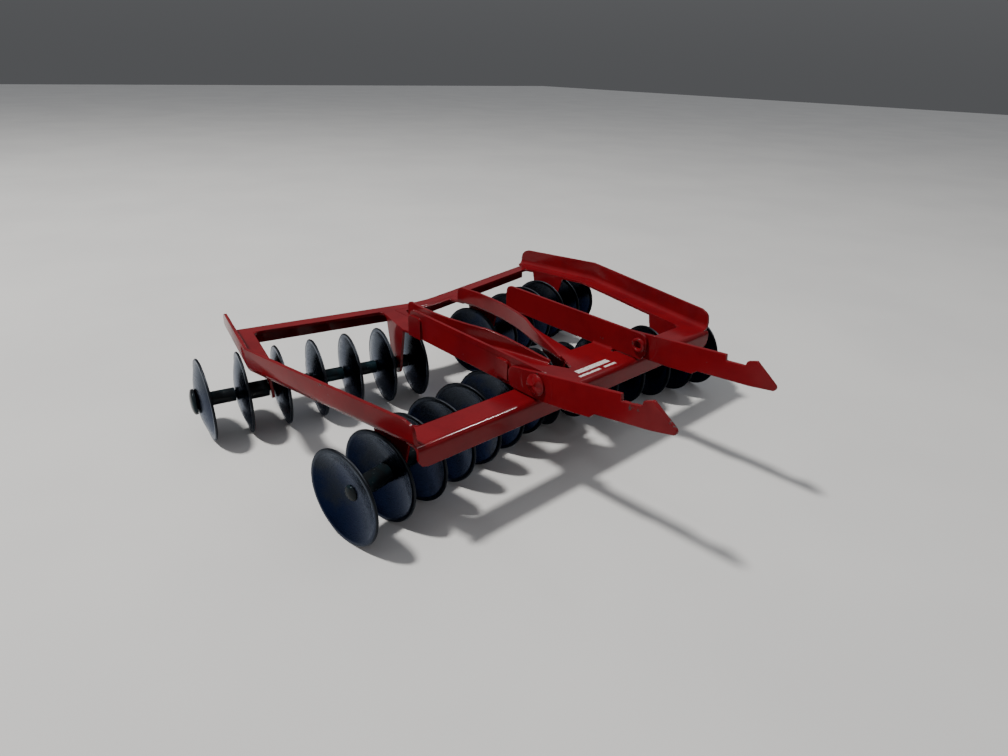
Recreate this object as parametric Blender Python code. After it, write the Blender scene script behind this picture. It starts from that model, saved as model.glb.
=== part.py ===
"""Toy tandem disc harrow: a pressed steel frame over four gangs of seven dished discs.

Metres, +Z up. The hitch end faces -Y, the tail faces +Y, and the floor is z = 0.
Plan sizes are first laid out from the front edge of the front bar (y = 0) and the
middle of the machine (x = 0); the last step centres the whole model on the origin.
"""
from math import acos, atan2, cos, degrees, pi, radians, sin, tan

import bmesh
import bpy
from mathutils import Matrix, Vector

# Sheet and finish
SHEET = 0.0010                  # pressed steel sheet
PLATE_TOP = 0.0309              # top surface of the frame above the floor
BAR_BEND = 0.0020               # outer radius of the bar folds
RAIL_BEND = 0.0030              # outer radius of the rail folds
SEAT_GAP = 0.0003               # air left between pieces that touch

# Discs and gangs
DISC_RADIUS = 0.0143
DISC_SHEET = 0.0008
FRONT_DISH = 0.0032             # depth of the dish at its centre
REAR_DISH = 0.0024
DISC_RIM = 0.0012               # flat ring round the dish
DISC_COUNT = 7                  # discs on one gang
DISC_PITCH = 0.0127
SWEEP = radians(11.5)           # each gang against the X axis
FRONT_DISC_X = 0.0816           # outermost front disc, centre of its rim
FRONT_DISC_Y = 0.0145
REAR_DISC_X = 0.0893            # outermost rear disc, centre of its rim
REAR_DISC_Y = 0.0932
ROD_RADIUS = 0.0012
SPACER_RADIUS = 0.0024
WIDE_SPACER_RADIUS = 0.0030     # the rolled spacers outside each outer hanger
HEAD_RADIUS = 0.00445           # mushroom head on the bulging side of the last disc
HEAD_HEIGHT = 0.0016
CAP_RADIUS = 0.0024             # small dome in the hollow of the last disc
CAP_HEIGHT = 0.0014
ROD_FIT = 0.0003                # radial air round the rod in discs and hangers

# Frame plan
FRONT_BAR_WIDTH = 0.0096
FRONT_BAR_HALF = 0.0670         # half the length of the front bar's fold
REAR_BAR_WIDTH = 0.0067
REAR_EDGE_Y = 0.0944            # where the two halves of the rear edge would meet
REAR_APEX_REACH = 0.0070        # the blend between those halves starts this far out
BAR_DROP = 0.0066               # depth of the folded-down edges
BAR_CORNER = 0.0030             # rounding at the ends of the front fold
RAIL_WIDTH = 0.0082
RAIL_RISE = 0.0076              # height of the folded-up rail edges at the bend
RAIL_FRONT_RISE = 0.0070
RAIL_REAR_RISE = 0.0068
RAIL_NOSE = 0.0010              # rail starts this far behind the front edge
RAIL_TAIL = 0.0012              # rail edge runs this far past the rear bar
RAIL_CORNER = 0.0040            # rounding at the ends of the rail edge
RAIL_END_WIDTH = 0.0032         # flat left beside the upright edge where it passes a bar
FRONT_WEB = 0.0034              # inner corner between rail and front bar
REAR_WEB = 0.0025               # inner corner between rail and rear bar
STRIP_WEB = 0.0018              # corner between centre strip and rear bar
WEB_OVERLAP = 0.0006
WEB_INSET = 0.00004             # gussets lie a hair inside the plate's faces
OUTER_HANGER_STEP = 1.5         # outer hanger, in pitches from the outermost disc
INNER_HANGER_STEP = 5.5         # inner hanger, in pitches from the outermost disc
OUTER_HANGER_SHIFT = 0.0004     # towards the bulging side of the next disc
INNER_HANGER_SHIFT = -0.0008
REAR_HANGER_LEAN = 0.0016       # the outer rear hanger leans inwards by this at the rod

# Hangers
HANGER_TOP_HALF = 0.0083
HANGER_END_RADIUS = 0.0041

# Centre panel and its triangular opening
PANEL_REAR_Y = 0.0197           # rear edge of the label plate
VEE_APEX_Y = 0.0084
VEE_RISE = 0.0060               # height of the folded-up edges of the opening
VEE_START_RISE = 0.0010         # their height where they begin beside the apex
VEE_GROWTH = 0.21               # how fast they grow towards the rear
VEE_WIDTH = 0.0030              # flat of the folded edge that lies on the panel
VEE_SET_BACK = 0.0002           # panel edge behind the end of the fold
VEE_OUTLINE = (                 # half width of the opening and its distance aft
    (0.0021, 0.0165), (0.0030, 0.0200), (0.0045, 0.0270), (0.0062, 0.0340),
    (0.0085, 0.0410), (0.0107, 0.0485), (0.0124, 0.0570), (0.0132, 0.0660),
    (0.0134, 0.0745), (0.0127, 0.0824))
VEE_LEFT_TAIL = (0.0121, 0.0846)    # the left edge runs a little further back
APRON = (                       # rear edge of the opening, from the middle outwards
    (0.0000, 0.0864), (0.0112, 0.0878), (0.0122, 0.0850), (0.0130, 0.0818), (0.0158, 0.0814),
    (0.0158, 0.0930))
VEE_BEND = 0.0018
VEE_CORNER = 0.0020             # rounding at the tail end of each edge

# Arms that stand up beside the label plate
ARM_OUTER_X = 0.0238
ARM_BACK_Y = 0.0664
ARM_NOSE_Y = -0.0026
ARM_TOP = 0.0403
ARM_BOTTOM = 0.0306
ARM_CORNER = 0.0026
ARM_NOSE_RISE = 0.0022          # height of the bevel under the front end
ARM_NOSE_BEVEL = 0.0016         # length of that bevel
ARM_FOLD_FRONT_Y = 0.0104       # the arm is joined to the panel behind here
ARM_FOLD_FLAT = 0.0010          # flat of the fold beyond its bend
ARM_FOLD_RELIEF = 0.0004        # the bend begins this far behind the joint
ARM_PADS = (                    # front, back and bottom of each pad pressed outwards
    (0.0134, 0.0192, 0.0322), (0.0592, 0.0664, 0.0306))
PAD_TOP = 0.0384
PAD_RAISE = 0.0008
PAD_CORNER = 0.0014

# Hitch prongs and their rivets
PRONG_SHEET = 0.0012
PIVOT_Y = 0.0
PIVOT_Z = 0.0363
RIGHT_PRONG_LIFT = radians(9.7)
LEFT_PRONG_LIFT = radians(5.3)
RIVET_RADIUS = 0.0016
RIVET_HEAD_RADIUS = 0.0034
RIVET_HEAD_HEIGHT = 0.0016
RIVET_TAIL_RADIUS = 0.0026
RIVET_TAIL_HEIGHT = 0.0009
PRONG_TOP = 0.0038
PRONG_BOTTOM = -0.0042
PRONG_BELLY = -0.0055
PRONG_LENGTH = 0.0475
PRONG_REAR = 0.0122
NOTCH_START = 0.0311
NOTCH_END = 0.0374
NOTCH_FLOOR = 0.00175

DISC_SIDES = 28
AXLE_SIDES = 12
BEND_STEPS = 5
HANGER_STEPS = 12
CORNER_PARTS = (0, 0.12, 0.4, 1)    # stations along a rounded end


# Plan helpers

def gangAxis(isFront):
    """Outer disc centre and inward unit vector of the gang on the +X side."""
    if isFront:
        return Vector((FRONT_DISC_X, FRONT_DISC_Y, 0)), Vector((-cos(SWEEP), sin(SWEEP), 0))
    return Vector((REAR_DISC_X, REAR_DISC_Y, 0)), Vector((-cos(SWEEP), -sin(SWEEP), 0))


def hangerDistances(isFront):
    """Distance from the outermost disc to the middle of each hanger plate at its fold."""
    sign = -1 if isFront else 1
    return (OUTER_HANGER_STEP * DISC_PITCH + sign * OUTER_HANGER_SHIFT,
            INNER_HANGER_STEP * DISC_PITCH + sign * INNER_HANGER_SHIFT)


def hangerLean(isFront, inner):
    """How far inwards a hanger has leant where the rod passes it."""
    return 0 if isFront or inner else REAR_HANGER_LEAN


def meet(pointA, alongA, pointB, alongB):
    """Crossing of two plan lines, each given by a point and a direction."""
    cross = alongA.x * alongB.y - alongA.y * alongB.x
    gap = pointB - pointA
    reach = (gap.x * alongB.y - gap.y * alongB.x) / cross
    return pointA + alongA * reach


def railLines():
    """Outer face of the rail: front end, bend and rear end, on the +X side."""
    lines = []
    for isFront in (True, False):
        start, inward = gangAxis(isFront)
        edge = hangerDistances(isFront)[0] + SHEET / 2 - RAIL_WIDTH
        along = Vector((-inward.y, inward.x, 0))
        lines.append((start + inward * edge, along))
    bend = meet(*lines[0], *lines[1])
    front = meet(*lines[0], Vector((0, RAIL_NOSE, 0)), Vector((1, 0, 0)))
    rearEdge = Vector((0, REAR_EDGE_Y, 0)), Vector((cos(SWEEP), sin(SWEEP), 0))
    rear = meet(*lines[1], *rearEdge)
    rear += Vector((-sin(SWEEP), cos(SWEEP), 0)) * RAIL_TAIL
    return front, bend, rear


# Mesh helpers

def newObject(name, verts, faces, mat):
    mesh = bpy.data.meshes.new(name)
    mesh.from_pydata([tuple(v) for v in verts], [], faces)
    mesh.validate()
    mesh.materials.append(mat)
    obj = bpy.data.objects.new(name, mesh)
    bpy.context.collection.objects.link(obj)
    return obj


def faceOutwards(obj):
    """Turn every face outwards, whatever side a mirrored copy put it on."""
    work = bmesh.new()
    work.from_mesh(obj.data)
    bmesh.ops.recalc_face_normals(work, faces=work.faces)
    work.to_mesh(obj.data)
    work.free()


def sweptSheet(name, sections, mat):
    """Closed solid through a row of matching closed sections."""
    count = len(sections[0])
    verts = [point for section in sections for point in section]
    faces = []
    for row in range(len(sections) - 1):
        for k in range(count):
            a = row * count + k
            b = row * count + (k + 1) % count
            faces.append((a, b, b + count, a + count))
    faces.append(tuple(range(count)))
    last = (len(sections) - 1) * count
    faces.append(tuple(range(last + count - 1, last - 1, -1)))
    obj = newObject(name, verts, faces, mat)
    faceOutwards(obj)
    return obj


def slab(name, outline, thickness, frame, mat):
    """Flat outline in the frame's XY plane, thickened along the frame's Z."""
    low = [frame @ Vector((x, y, 0)) for x, y in outline]
    high = [frame @ Vector((x, y, thickness)) for x, y in outline]
    return sweptSheet(name, [low, high], mat)


def turned(name, profile, sides, frame, mat):
    """Solid of revolution about the frame's X axis, from (along, radius) points."""
    sections = []
    for step in range(sides):
        angle = 2 * pi * step / sides - pi / 2
        sections.append([frame @ Vector((a, r * cos(angle), r * sin(angle))) for a, r in profile])
    verts = [point for section in sections for point in section]
    count = len(profile)
    faces = []
    for step in range(sides):
        ahead = (step + 1) % sides
        for k in range(count - 1):
            faces.append((step * count + k, step * count + k + 1,
                          ahead * count + k + 1, ahead * count + k))
    if profile[0] == profile[-1]:
        obj = newObject(name, verts, faces, mat)
        weld(obj)
    else:
        faces.append(tuple(step * count for step in range(sides)))
        faces.append(tuple(step * count + count - 1 for step in reversed(range(sides))))
        obj = newObject(name, verts, faces, mat)
    faceOutwards(obj)
    return obj


def weld(obj):
    work = bmesh.new()
    work.from_mesh(obj.data)
    bmesh.ops.remove_doubles(work, verts=work.verts, dist=0.000001)
    work.to_mesh(obj.data)
    work.free()


def combine(base, others, operation):
    """Boolean the others into the base one by one and keep the result as its mesh."""
    for other in others:
        modifier = base.modifiers.new(operation.lower(), 'BOOLEAN')
        modifier.operation = operation
        modifier.object = other
    graph = bpy.context.evaluated_depsgraph_get()
    mesh = bpy.data.meshes.new_from_object(base.evaluated_get(graph))
    base.modifiers.clear()
    base.data = mesh
    for other in others:
        bpy.data.objects.remove(other)
    return base


def arc(centre, radius, start, end, steps=BEND_STEPS):
    """Points on a circle from one angle to the other, in degrees."""
    angles = [radians(start + (end - start) * k / steps) for k in range(steps + 1)]
    return [(centre[0] + radius * cos(a), centre[1] + radius * sin(a)) for a in angles]


def material(name, colour, roughness, metallic):
    mat = bpy.data.materials.new(name)
    mat.use_nodes = True
    shader = mat.node_tree.nodes['Principled BSDF']
    shader.inputs['Base Color'].default_value = (*colour, 1)
    shader.inputs['Roughness'].default_value = roughness
    shader.inputs['Metallic'].default_value = metallic
    return mat


# Frame

def foldProfile(width, drop, bend, rises):
    """Section of a strip folded along one edge: (distance in from the face, height).

    The fold turns up when rises is true and down otherwise. Heights are counted
    from the top surface of the plate.
    """
    inner = bend - SHEET
    side = 1 if rises else -1
    near = 0 if rises else -SHEET       # plate surface on the hollow side of the fold
    far = -SHEET if rises else 0
    points = [(0, near + side * drop), (SHEET, near + side * drop)]
    points += [(bend - inner * cos(a), near + side * inner * (1 - sin(a)))
               for a in (radians(90 * k / BEND_STEPS) for k in range(BEND_STEPS + 1))]
    points += [(width, near), (width, far)]
    points += [(bend - bend * sin(a), far + side * bend * (1 - cos(a)))
               for a in (radians(90 * k / BEND_STEPS) for k in range(BEND_STEPS + 1))]
    return points


def foldedStrip(name, stations, profileAt, mat):
    """Strip carried along stations, each a plan point and an inward step vector."""
    sections = []
    for k, (point, inward) in enumerate(stations):
        sections.append([point + inward * across + Vector((0, 0, PLATE_TOP + up))
                         for across, up in profileAt(k)])
    return sweptSheet(name, sections, mat)


def roundedHeights(distances, full, corner):
    """Height of an upright edge near a rounded end, for each distance from that end."""
    heights = []
    for d in distances:
        back = max(corner - d, 0)
        heights.append(full - corner + (corner ** 2 - back ** 2) ** 0.5)
    return heights


def sideRail(side, mat):
    """Bent rail with its outer edge folded up and both ends of that edge rounded."""
    front, bend, rear = railLines()
    narrowFront = BAR_BEND - RAIL_NOSE
    narrowRear = BAR_BEND + RAIL_TAIL
    steps = [RAIL_CORNER * part for part in CORNER_PARTS]
    frontSteps = sorted(steps + [narrowFront])
    rearSteps = sorted(steps + [narrowRear], reverse=True)
    ahead = (bend - front).normalized()
    aft = (rear - bend).normalized()
    crossFront = Vector((-1 / cos(SWEEP), 0, 0))
    crossRear = Vector((-cos(SWEEP), -sin(SWEEP), 0))
    stations = [(front + ahead * s, crossFront) for s in frontSteps]
    stations += [(bend, crossFront)]
    stations += [(rear - aft * s, crossRear) for s in rearSteps]
    rises = roundedHeights(frontSteps, RAIL_FRONT_RISE, RAIL_CORNER) + [RAIL_RISE]
    rises += roundedHeights(rearSteps, RAIL_REAR_RISE, RAIL_CORNER)
    widths = [RAIL_END_WIDTH if s <= narrowFront else RAIL_WIDTH for s in frontSteps] + [RAIL_WIDTH]
    widths += [RAIL_END_WIDTH if s <= narrowRear else RAIL_WIDTH for s in rearSteps]
    mirrored = [(Vector((p.x * side, p.y, 0)), Vector((c.x * side, c.y, 0))) for p, c in stations]
    return foldedStrip('rail', mirrored, lambda k: foldProfile(widths[k], rises[k], RAIL_BEND, True), mat)


def frontBar(mat):
    """Straight bar with its front edge folded down and the ends of that edge rounded."""
    steps = [BAR_CORNER * part for part in CORNER_PARTS]
    spots = [s - FRONT_BAR_HALF for s in steps] + [FRONT_BAR_HALF - s for s in reversed(steps)]
    stations = [(Vector((x, 0, 0)), Vector((0, 1, 0))) for x in spots]
    drops = roundedHeights(steps, BAR_DROP - SHEET, BAR_CORNER)
    drops += drops[::-1]
    return foldedStrip('front bar', stations,
                       lambda k: foldProfile(FRONT_BAR_WIDTH, drops[k], BAR_BEND, False), mat)


def rearBar(mat):
    """Shallow V that follows the rear gangs, with its rear edge folded down."""
    start, inward = gangAxis(False)
    reach = hangerDistances(False)[0] + SHEET / 2 - RAIL_WIDTH + RAIL_BEND
    railFace = start + inward * reach
    across = Vector((-inward.y, inward.x, 0))
    apex = Vector((0, REAR_EDGE_Y, 0))
    end = meet(railFace, across, apex, inward)
    cross = Vector((sin(SWEEP), -cos(SWEEP), 0))
    stations = [(Vector((-end.x, end.y, 0)), Vector((-cross.x, cross.y, 0)))]
    first = apex + Vector((-cos(SWEEP), sin(SWEEP), 0)) * REAR_APEX_REACH
    last = apex + Vector((cos(SWEEP), sin(SWEEP), 0)) * REAR_APEX_REACH
    for part in (0, 0.2, 0.4, 0.6, 0.8, 1):
        point = first.lerp(apex, part).lerp(apex.lerp(last, part), part)
        along = (apex - first).lerp(last - apex, part).normalized()
        stations.append((point, Vector((along.y, -along.x, 0))))
    stations += [(end, cross)]
    drop = BAR_DROP - SHEET
    return foldedStrip('rear bar', stations,
                       lambda k: foldProfile(REAR_BAR_WIDTH, drop, BAR_BEND, False), mat)


def cornerWeb(corner, alongA, alongB, radius, side, mat):
    """Rounded gusset in the plate corner between two edges that leave it."""
    half = alongA.angle(alongB) / 2
    centre = corner + (alongA + alongB).normalized() * (radius / sin(half))
    first = corner + alongA * (radius / tan(half))
    last = corner + alongB * (radius / tan(half))
    outA = (first - centre).normalized() * WEB_OVERLAP
    outB = (last - centre).normalized() * WEB_OVERLAP
    points = [corner + outA + outB, first + outA]
    for k in range(BEND_STEPS + 1):
        spoke = (first - centre).lerp(last - centre, k / BEND_STEPS).normalized()
        points.append(centre + spoke * radius)
    points.append(last + outB)
    outline = [(p.x * side, p.y) for p in points]
    low = Matrix.Translation((0, 0, PLATE_TOP - SHEET + WEB_INSET))
    return slab('web', outline, SHEET - 2 * WEB_INSET, low, mat)


def cornerWebs(side, mat):
    """Gussets where the rail meets both bars and where the centre strip meets the rear bar."""
    front, bend, rear = railLines()
    ahead = (bend - front).normalized()
    aft = (rear - bend).normalized()
    frontIn = Vector((-1, 0, 0))
    rearIn = Vector((-cos(SWEEP), -sin(SWEEP), 0))
    frontEdge = Vector((0, FRONT_BAR_WIDTH, 0))
    rearEdge = Vector((0, REAR_EDGE_Y - REAR_BAR_WIDTH / cos(SWEEP), 0))
    frontCorner = meet(front + frontIn * (RAIL_WIDTH / cos(SWEEP)), ahead, frontEdge, frontIn)
    rearCorner = meet(rear + rearIn * RAIL_WIDTH, aft, rearEdge, rearIn)
    strip = hangerFold(False)
    stripAft = (strip[1] - strip[0]).normalized()
    stripCorner = meet(strip[1], stripAft, rearEdge, rearIn)
    return [cornerWeb(frontCorner, ahead, frontIn, FRONT_WEB, side, mat),
            cornerWeb(rearCorner, -aft, rearIn, REAR_WEB, side, mat),
            cornerWeb(stripCorner, -stripAft, -rearIn, STRIP_WEB, side, mat)]


def hangerFold(isFront):
    """Outer face of the inner hanger: its two ends in plan, on the +X side."""
    start, inward = gangAxis(isFront)
    middle = start + inward * (hangerDistances(isFront)[1] - SHEET / 2)
    across = Vector((inward.y, -inward.x, 0))
    if across.y < 0:
        across.negate()
    return middle - across * HANGER_TOP_HALF, middle + across * HANGER_TOP_HALF


def centrePanel(mat):
    """Label plate and the two strips that run back from it to the rear bar."""
    frontFold = hangerFold(True)
    rearFold = hangerFold(False)
    setBack = VEE_BEND + VEE_SET_BACK
    rearEdge = REAR_EDGE_Y - REAR_BAR_WIDTH / 2 / cos(SWEEP)
    side = [(ARM_OUTER_X - BAR_BEND, FRONT_BAR_WIDTH / 2),
            (ARM_OUTER_X - BAR_BEND, PANEL_REAR_Y),
            (frontFold[0].x, PANEL_REAR_Y)]
    side += [(p.x, p.y) for p in frontFold + rearFold]
    stripEnd = meet(rearFold[1], rearFold[1] - rearFold[0],
                    Vector((0, rearEdge, 0)), Vector((cos(SWEEP), sin(SWEEP), 0)))
    side += [(stripEnd.x, stripEnd.y)]
    side += [(VEE_OUTLINE[-1][0] + setBack, rearEdge + VEE_OUTLINE[-1][0] * tan(SWEEP))]
    side += [(x + setBack, y) for x, y in reversed(VEE_OUTLINE)]
    outline = side + [(0, VEE_APEX_Y)] + [(-x, y) for x, y in reversed(side)]
    return slab('panel', outline, SHEET, Matrix.Translation((0, 0, PLATE_TOP - SHEET)), mat)


def apron(mat):
    """Plate that closes the rear of the triangular opening against the rear bar."""
    outline = [(-x, y) for x, y in reversed(APRON[1:])] + list(APRON)
    low = Matrix.Translation((0, 0, PLATE_TOP - SHEET + WEB_INSET))
    return slab('apron', outline, SHEET - 2 * WEB_INSET, low, mat)


def veeEdge(side, mat):
    """Folded-up edge along one side of the triangular opening, rounded at its tail."""
    points = [Vector((x, y, 0)) for x, y in VEE_OUTLINE]
    rises = [min(VEE_RISE, VEE_START_RISE + VEE_GROWTH * (p.y - points[0].y)) for p in points[:-1]]
    tail = points.pop()
    if side > 0:
        tail = Vector((*VEE_LEFT_TAIL, 0))
    back = (points[-1] - tail).normalized()
    steps = [VEE_CORNER * part for part in reversed(CORNER_PARTS)]
    points += [tail + back * s for s in steps]
    rises += roundedHeights(steps, VEE_RISE, VEE_CORNER)
    stations = []
    for k, point in enumerate(points):
        before = points[max(k - 1, 0)]
        after = points[min(k + 1, len(points) - 1)]
        along = (after - before).normalized()
        stations.append((Vector((point.x * side, point.y, 0)), Vector((along.y * side, -along.x, 0))))
    return foldedStrip('vee edge', stations,
                       lambda k: foldProfile(VEE_WIDTH, rises[k], VEE_BEND, True), mat)


def arm(side, mat):
    """Upright plate beside the label plate, folded up from it behind the front bar."""
    clear = PLATE_TOP + SEAT_GAP
    corner = ARM_CORNER
    outline = [(ARM_FOLD_FRONT_Y, clear), (ARM_FOLD_FRONT_Y, ARM_BOTTOM), (ARM_BACK_Y, ARM_BOTTOM)]
    outline += arc((ARM_BACK_Y - corner, ARM_TOP - corner), corner, 0, 90)
    outline += arc((ARM_NOSE_Y + corner, ARM_TOP - corner), corner, 90, 180)
    outline += [(ARM_NOSE_Y, clear + ARM_NOSE_RISE), (ARM_NOSE_Y + ARM_NOSE_BEVEL, clear)]
    frame = Matrix(((0, 0, 1, 0), (1, 0, 0, 0), (0, 1, 0, 0), (0, 0, 0, 1)))
    frame.translation.x = ARM_OUTER_X - SHEET if side > 0 else -ARM_OUTER_X
    plate = slab('arm', outline, SHEET, frame, mat)
    stations = [(Vector((side * ARM_OUTER_X, y, 0)), Vector((-side, 0, 0)))
                for y in (ARM_FOLD_FRONT_Y + ARM_FOLD_RELIEF, PANEL_REAR_Y)]
    fold = foldedStrip('arm fold', stations,
                       lambda k: foldProfile(BAR_BEND + ARM_FOLD_FLAT, BAR_BEND, BAR_BEND, True), mat)
    return [plate, fold]


def armPad(size, side, mat):
    """Pad with round top corners that stands out from the arm's outer side."""
    front, back, bottom = size
    corner = PAD_CORNER
    outline = [(front, bottom), (back, bottom)]
    outline += arc((back - corner, PAD_TOP - corner), corner, 0, 90, 3)
    outline += arc((front + corner, PAD_TOP - corner), corner, 90, 180, 3)
    near = ARM_OUTER_X - SHEET / 2
    far = ARM_OUTER_X + PAD_RAISE
    frame = Matrix(((0, 0, 1, near if side > 0 else -far), (1, 0, 0, 0), (0, 1, 0, 0), (0, 0, 0, 1)))
    return slab('pad', outline, far - near, frame, mat)


def hanger(isFront, inner, side, mat):
    """Tapering tab with a round end that carries the gang's rod."""
    start, inward = gangAxis(isFront)
    middle = start + inward * (hangerDistances(isFront)[inner] - SHEET / 2)
    across = Vector((-inward.y, inward.x, 0))
    height = PLATE_TOP - SHEET / 2 - DISC_RADIUS
    corner = Vector((-HANGER_TOP_HALF, height))
    tangent = degrees(atan2(corner.y, corner.x) + acos(HANGER_END_RADIUS / corner.length))
    outline = [(HANGER_TOP_HALF, height), (-HANGER_TOP_HALF, height)]
    outline += arc((0, 0), HANGER_END_RADIUS, tangent, 540 - tangent, HANGER_STEPS)
    lean = hangerLean(isFront, inner)
    foot = middle + inward * lean
    slope = -lean / height
    frame = Matrix((
        (across.x * side, inward.x * slope * side, inward.x * side, foot.x * side),
        (across.y, inward.y * slope, inward.y, foot.y),
        (0, 1, 0, DISC_RADIUS),
        (0, 0, 0, 1)))
    return slab('hanger', outline, SHEET, frame, mat)


def gangFrame(isFront, side):
    """Frame with X along the gang, from the outermost disc towards the middle."""
    start, inward = gangAxis(isFront)
    along = Vector((inward.x * side, inward.y, 0))
    across = Vector((-along.y, along.x, 0))
    return Matrix((
        (along.x, across.x, 0, start.x * side),
        (along.y, across.y, 0, start.y),
        (0, 0, 1, DISC_RADIUS),
        (0, 0, 0, 1)))


def rivetFrame(side):
    """Frame with X out of the machine's side and its origin on the prong's pivot."""
    return Matrix(((side, 0, 0, 0), (0, side, 0, PIVOT_Y), (0, 0, 1, PIVOT_Z), (0, 0, 0, 1)))


def harrowFrame(mat):
    """The one-piece pressed frame with its hangers, arms and upturned edges."""
    base = centrePanel(mat)
    pieces = [frontBar(mat), rearBar(mat), apron(mat)]
    for side in (-1, 1):
        pieces.append(sideRail(side, mat))
        pieces.append(veeEdge(side, mat))
        pieces += arm(side, mat)
        pieces += [armPad(size, side, mat) for size in ARM_PADS]
        pieces += cornerWebs(side, mat)
        pieces += [hanger(isFront, inner, side, mat) for isFront in (True, False) for inner in (0, 1)]
    combine(base, pieces, 'UNION')
    holes = []
    for side in (-1, 1):
        bore = ((0, ROD_RADIUS + ROD_FIT), (DISC_COUNT * DISC_PITCH, ROD_RADIUS + ROD_FIT))
        for isFront in (True, False):
            holes.append(turned('bore', bore, AXLE_SIDES, gangFrame(isFront, side), mat))
        across = ((ARM_OUTER_X - 2 * SHEET, RIVET_RADIUS + SEAT_GAP),
                  (ARM_OUTER_X + SHEET, RIVET_RADIUS + SEAT_GAP))
        holes.append(turned('rivet hole', across, AXLE_SIDES, rivetFrame(side), mat))
    combine(base, holes, 'DIFFERENCE')
    base.name = 'frame'
    return base


# Hitch prongs

def prongOutline():
    """Side of a level prong: (forward of the pivot, above the pivot)."""
    outline = [(NOTCH_START, PRONG_TOP), (NOTCH_START, NOTCH_FLOOR), (NOTCH_END, NOTCH_FLOOR),
               (NOTCH_END + 0.0006, PRONG_TOP - 0.0005), (0.0409, PRONG_TOP + 0.0002)]
    outline += arc((PRONG_LENGTH - 0.0011, -0.0026), 0.0011, 35, -75, 3)
    outline += [(0.0389, PRONG_BOTTOM), (0.0216, PRONG_BOTTOM), (0.0198, PRONG_BELLY),
                (0.0100, PRONG_BELLY), (0.0030, -0.0051), (-0.0020, -0.0045), (-0.0075, -0.0037)]
    outline += arc((0.0020 - PRONG_REAR, -0.0010), 0.0022, 250, 180, 3)
    outline += arc((0.0024 - PRONG_REAR, PRONG_TOP - 0.0026), 0.0026, 180, 90, 3)
    return outline


def prong(name, side, lift, mat):
    """Flat hitch prong on the outer side of its arm, turned about its rivet."""
    inner = ARM_OUTER_X + SEAT_GAP
    near = inner if side > 0 else -inner - PRONG_SHEET
    frame = Matrix(((0, 0, 1, near), (-1, 0, 0, 0), (0, 1, 0, 0), (0, 0, 0, 1)))
    obj = slab(name, prongOutline(), PRONG_SHEET, frame, mat)
    hole = [(ARM_OUTER_X - SHEET, RIVET_RADIUS + SEAT_GAP),
            (ARM_OUTER_X + 3 * PRONG_SHEET, RIVET_RADIUS + SEAT_GAP)]
    level = Matrix(((side, 0, 0, 0), (0, side, 0, 0), (0, 0, 1, 0), (0, 0, 0, 1)))
    combine(obj, [turned('hole', hole, AXLE_SIDES, level, mat)], 'DIFFERENCE')
    obj.location = (0, PIVOT_Y, PIVOT_Z)
    obj.rotation_euler = (-lift, 0, 0)
    return obj


def rivet(name, side, mat):
    """Domed rivet through arm and prong, with a rolled tail inside the arm."""
    inside = ARM_OUTER_X - SHEET - SEAT_GAP
    outside = ARM_OUTER_X + PRONG_SHEET + 2 * SEAT_GAP
    profile = [(inside - RIVET_TAIL_HEIGHT, RIVET_TAIL_RADIUS * 0.6),
               (inside - RIVET_TAIL_HEIGHT * 0.5, RIVET_TAIL_RADIUS),
               (inside, RIVET_TAIL_RADIUS), (inside, RIVET_RADIUS),
               (outside, RIVET_RADIUS), (outside, RIVET_HEAD_RADIUS)]
    profile += [(outside + RIVET_HEAD_HEIGHT * sin(a), RIVET_HEAD_RADIUS * cos(a))
                for a in (radians(25), radians(50), radians(72))]
    return turned(name, profile, AXLE_SIDES + 4, rivetFrame(side), mat)


# Gangs

def discFace(radius, isFront):
    """Hollow side of a disc: how far its surface lies from the plane of the rim."""
    depth = FRONT_DISH if isFront else REAR_DISH
    dish = DISC_RADIUS - DISC_RIM
    if radius >= dish:
        return 0
    ball = (dish ** 2 + depth ** 2) / (2 * depth)
    return depth - (ball - (ball ** 2 - radius ** 2) ** 0.5)


def bulgeSign(isFront):
    """Front discs bulge towards the middle of the machine and rear discs away from it."""
    return 1 if isFront else -1


def disc(name, isFront, side, number, mat):
    """Dished disc with its bore round the gang's rod."""
    bore = ROD_RADIUS + ROD_FIT
    radii = (bore, DISC_RADIUS * 0.5, DISC_RADIUS - DISC_RIM, DISC_RADIUS)
    sign = bulgeSign(isFront)
    hollow = [(sign * discFace(r, isFront), r) for r in radii]
    bulge = [(sign * (discFace(r, isFront) + DISC_SHEET), r) for r in reversed(radii)]
    place = gangFrame(isFront, side) @ Matrix.Translation((number * DISC_PITCH, 0, 0))
    profile = hollow + bulge
    obj = turned(name, profile + profile[:1], DISC_SIDES, Matrix.Identity(4), mat)
    obj.matrix_world = place
    return obj


def spacerEnds(isFront):
    """Start, end and radius of each spacer tube, counted along the gang."""
    sign = bulgeSign(isFront)
    hub = sign * discFace(ROD_RADIUS, isFront)
    low, high = sorted((hub, hub + sign * DISC_SHEET))
    hangers = [h + hangerLean(isFront, k) for k, h in enumerate(hangerDistances(isFront))]
    spans = []
    for number in range(DISC_COUNT - 1):
        start = number * DISC_PITCH + high + SEAT_GAP
        end = (number + 1) * DISC_PITCH + low - SEAT_GAP
        middle = [h for h in hangers if start < h < end]
        if not middle:
            wide = isFront and number == 0
            spans.append((start, end, WIDE_SPACER_RADIUS if wide else SPACER_RADIUS))
            continue
        outer = WIDE_SPACER_RADIUS if middle[0] == hangers[0] else SPACER_RADIUS
        spans.append((start, middle[0] - SHEET / 2 - SEAT_GAP, outer))
        spans.append((middle[0] + SHEET / 2 + SEAT_GAP, end, SPACER_RADIUS))
    return spans


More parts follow.
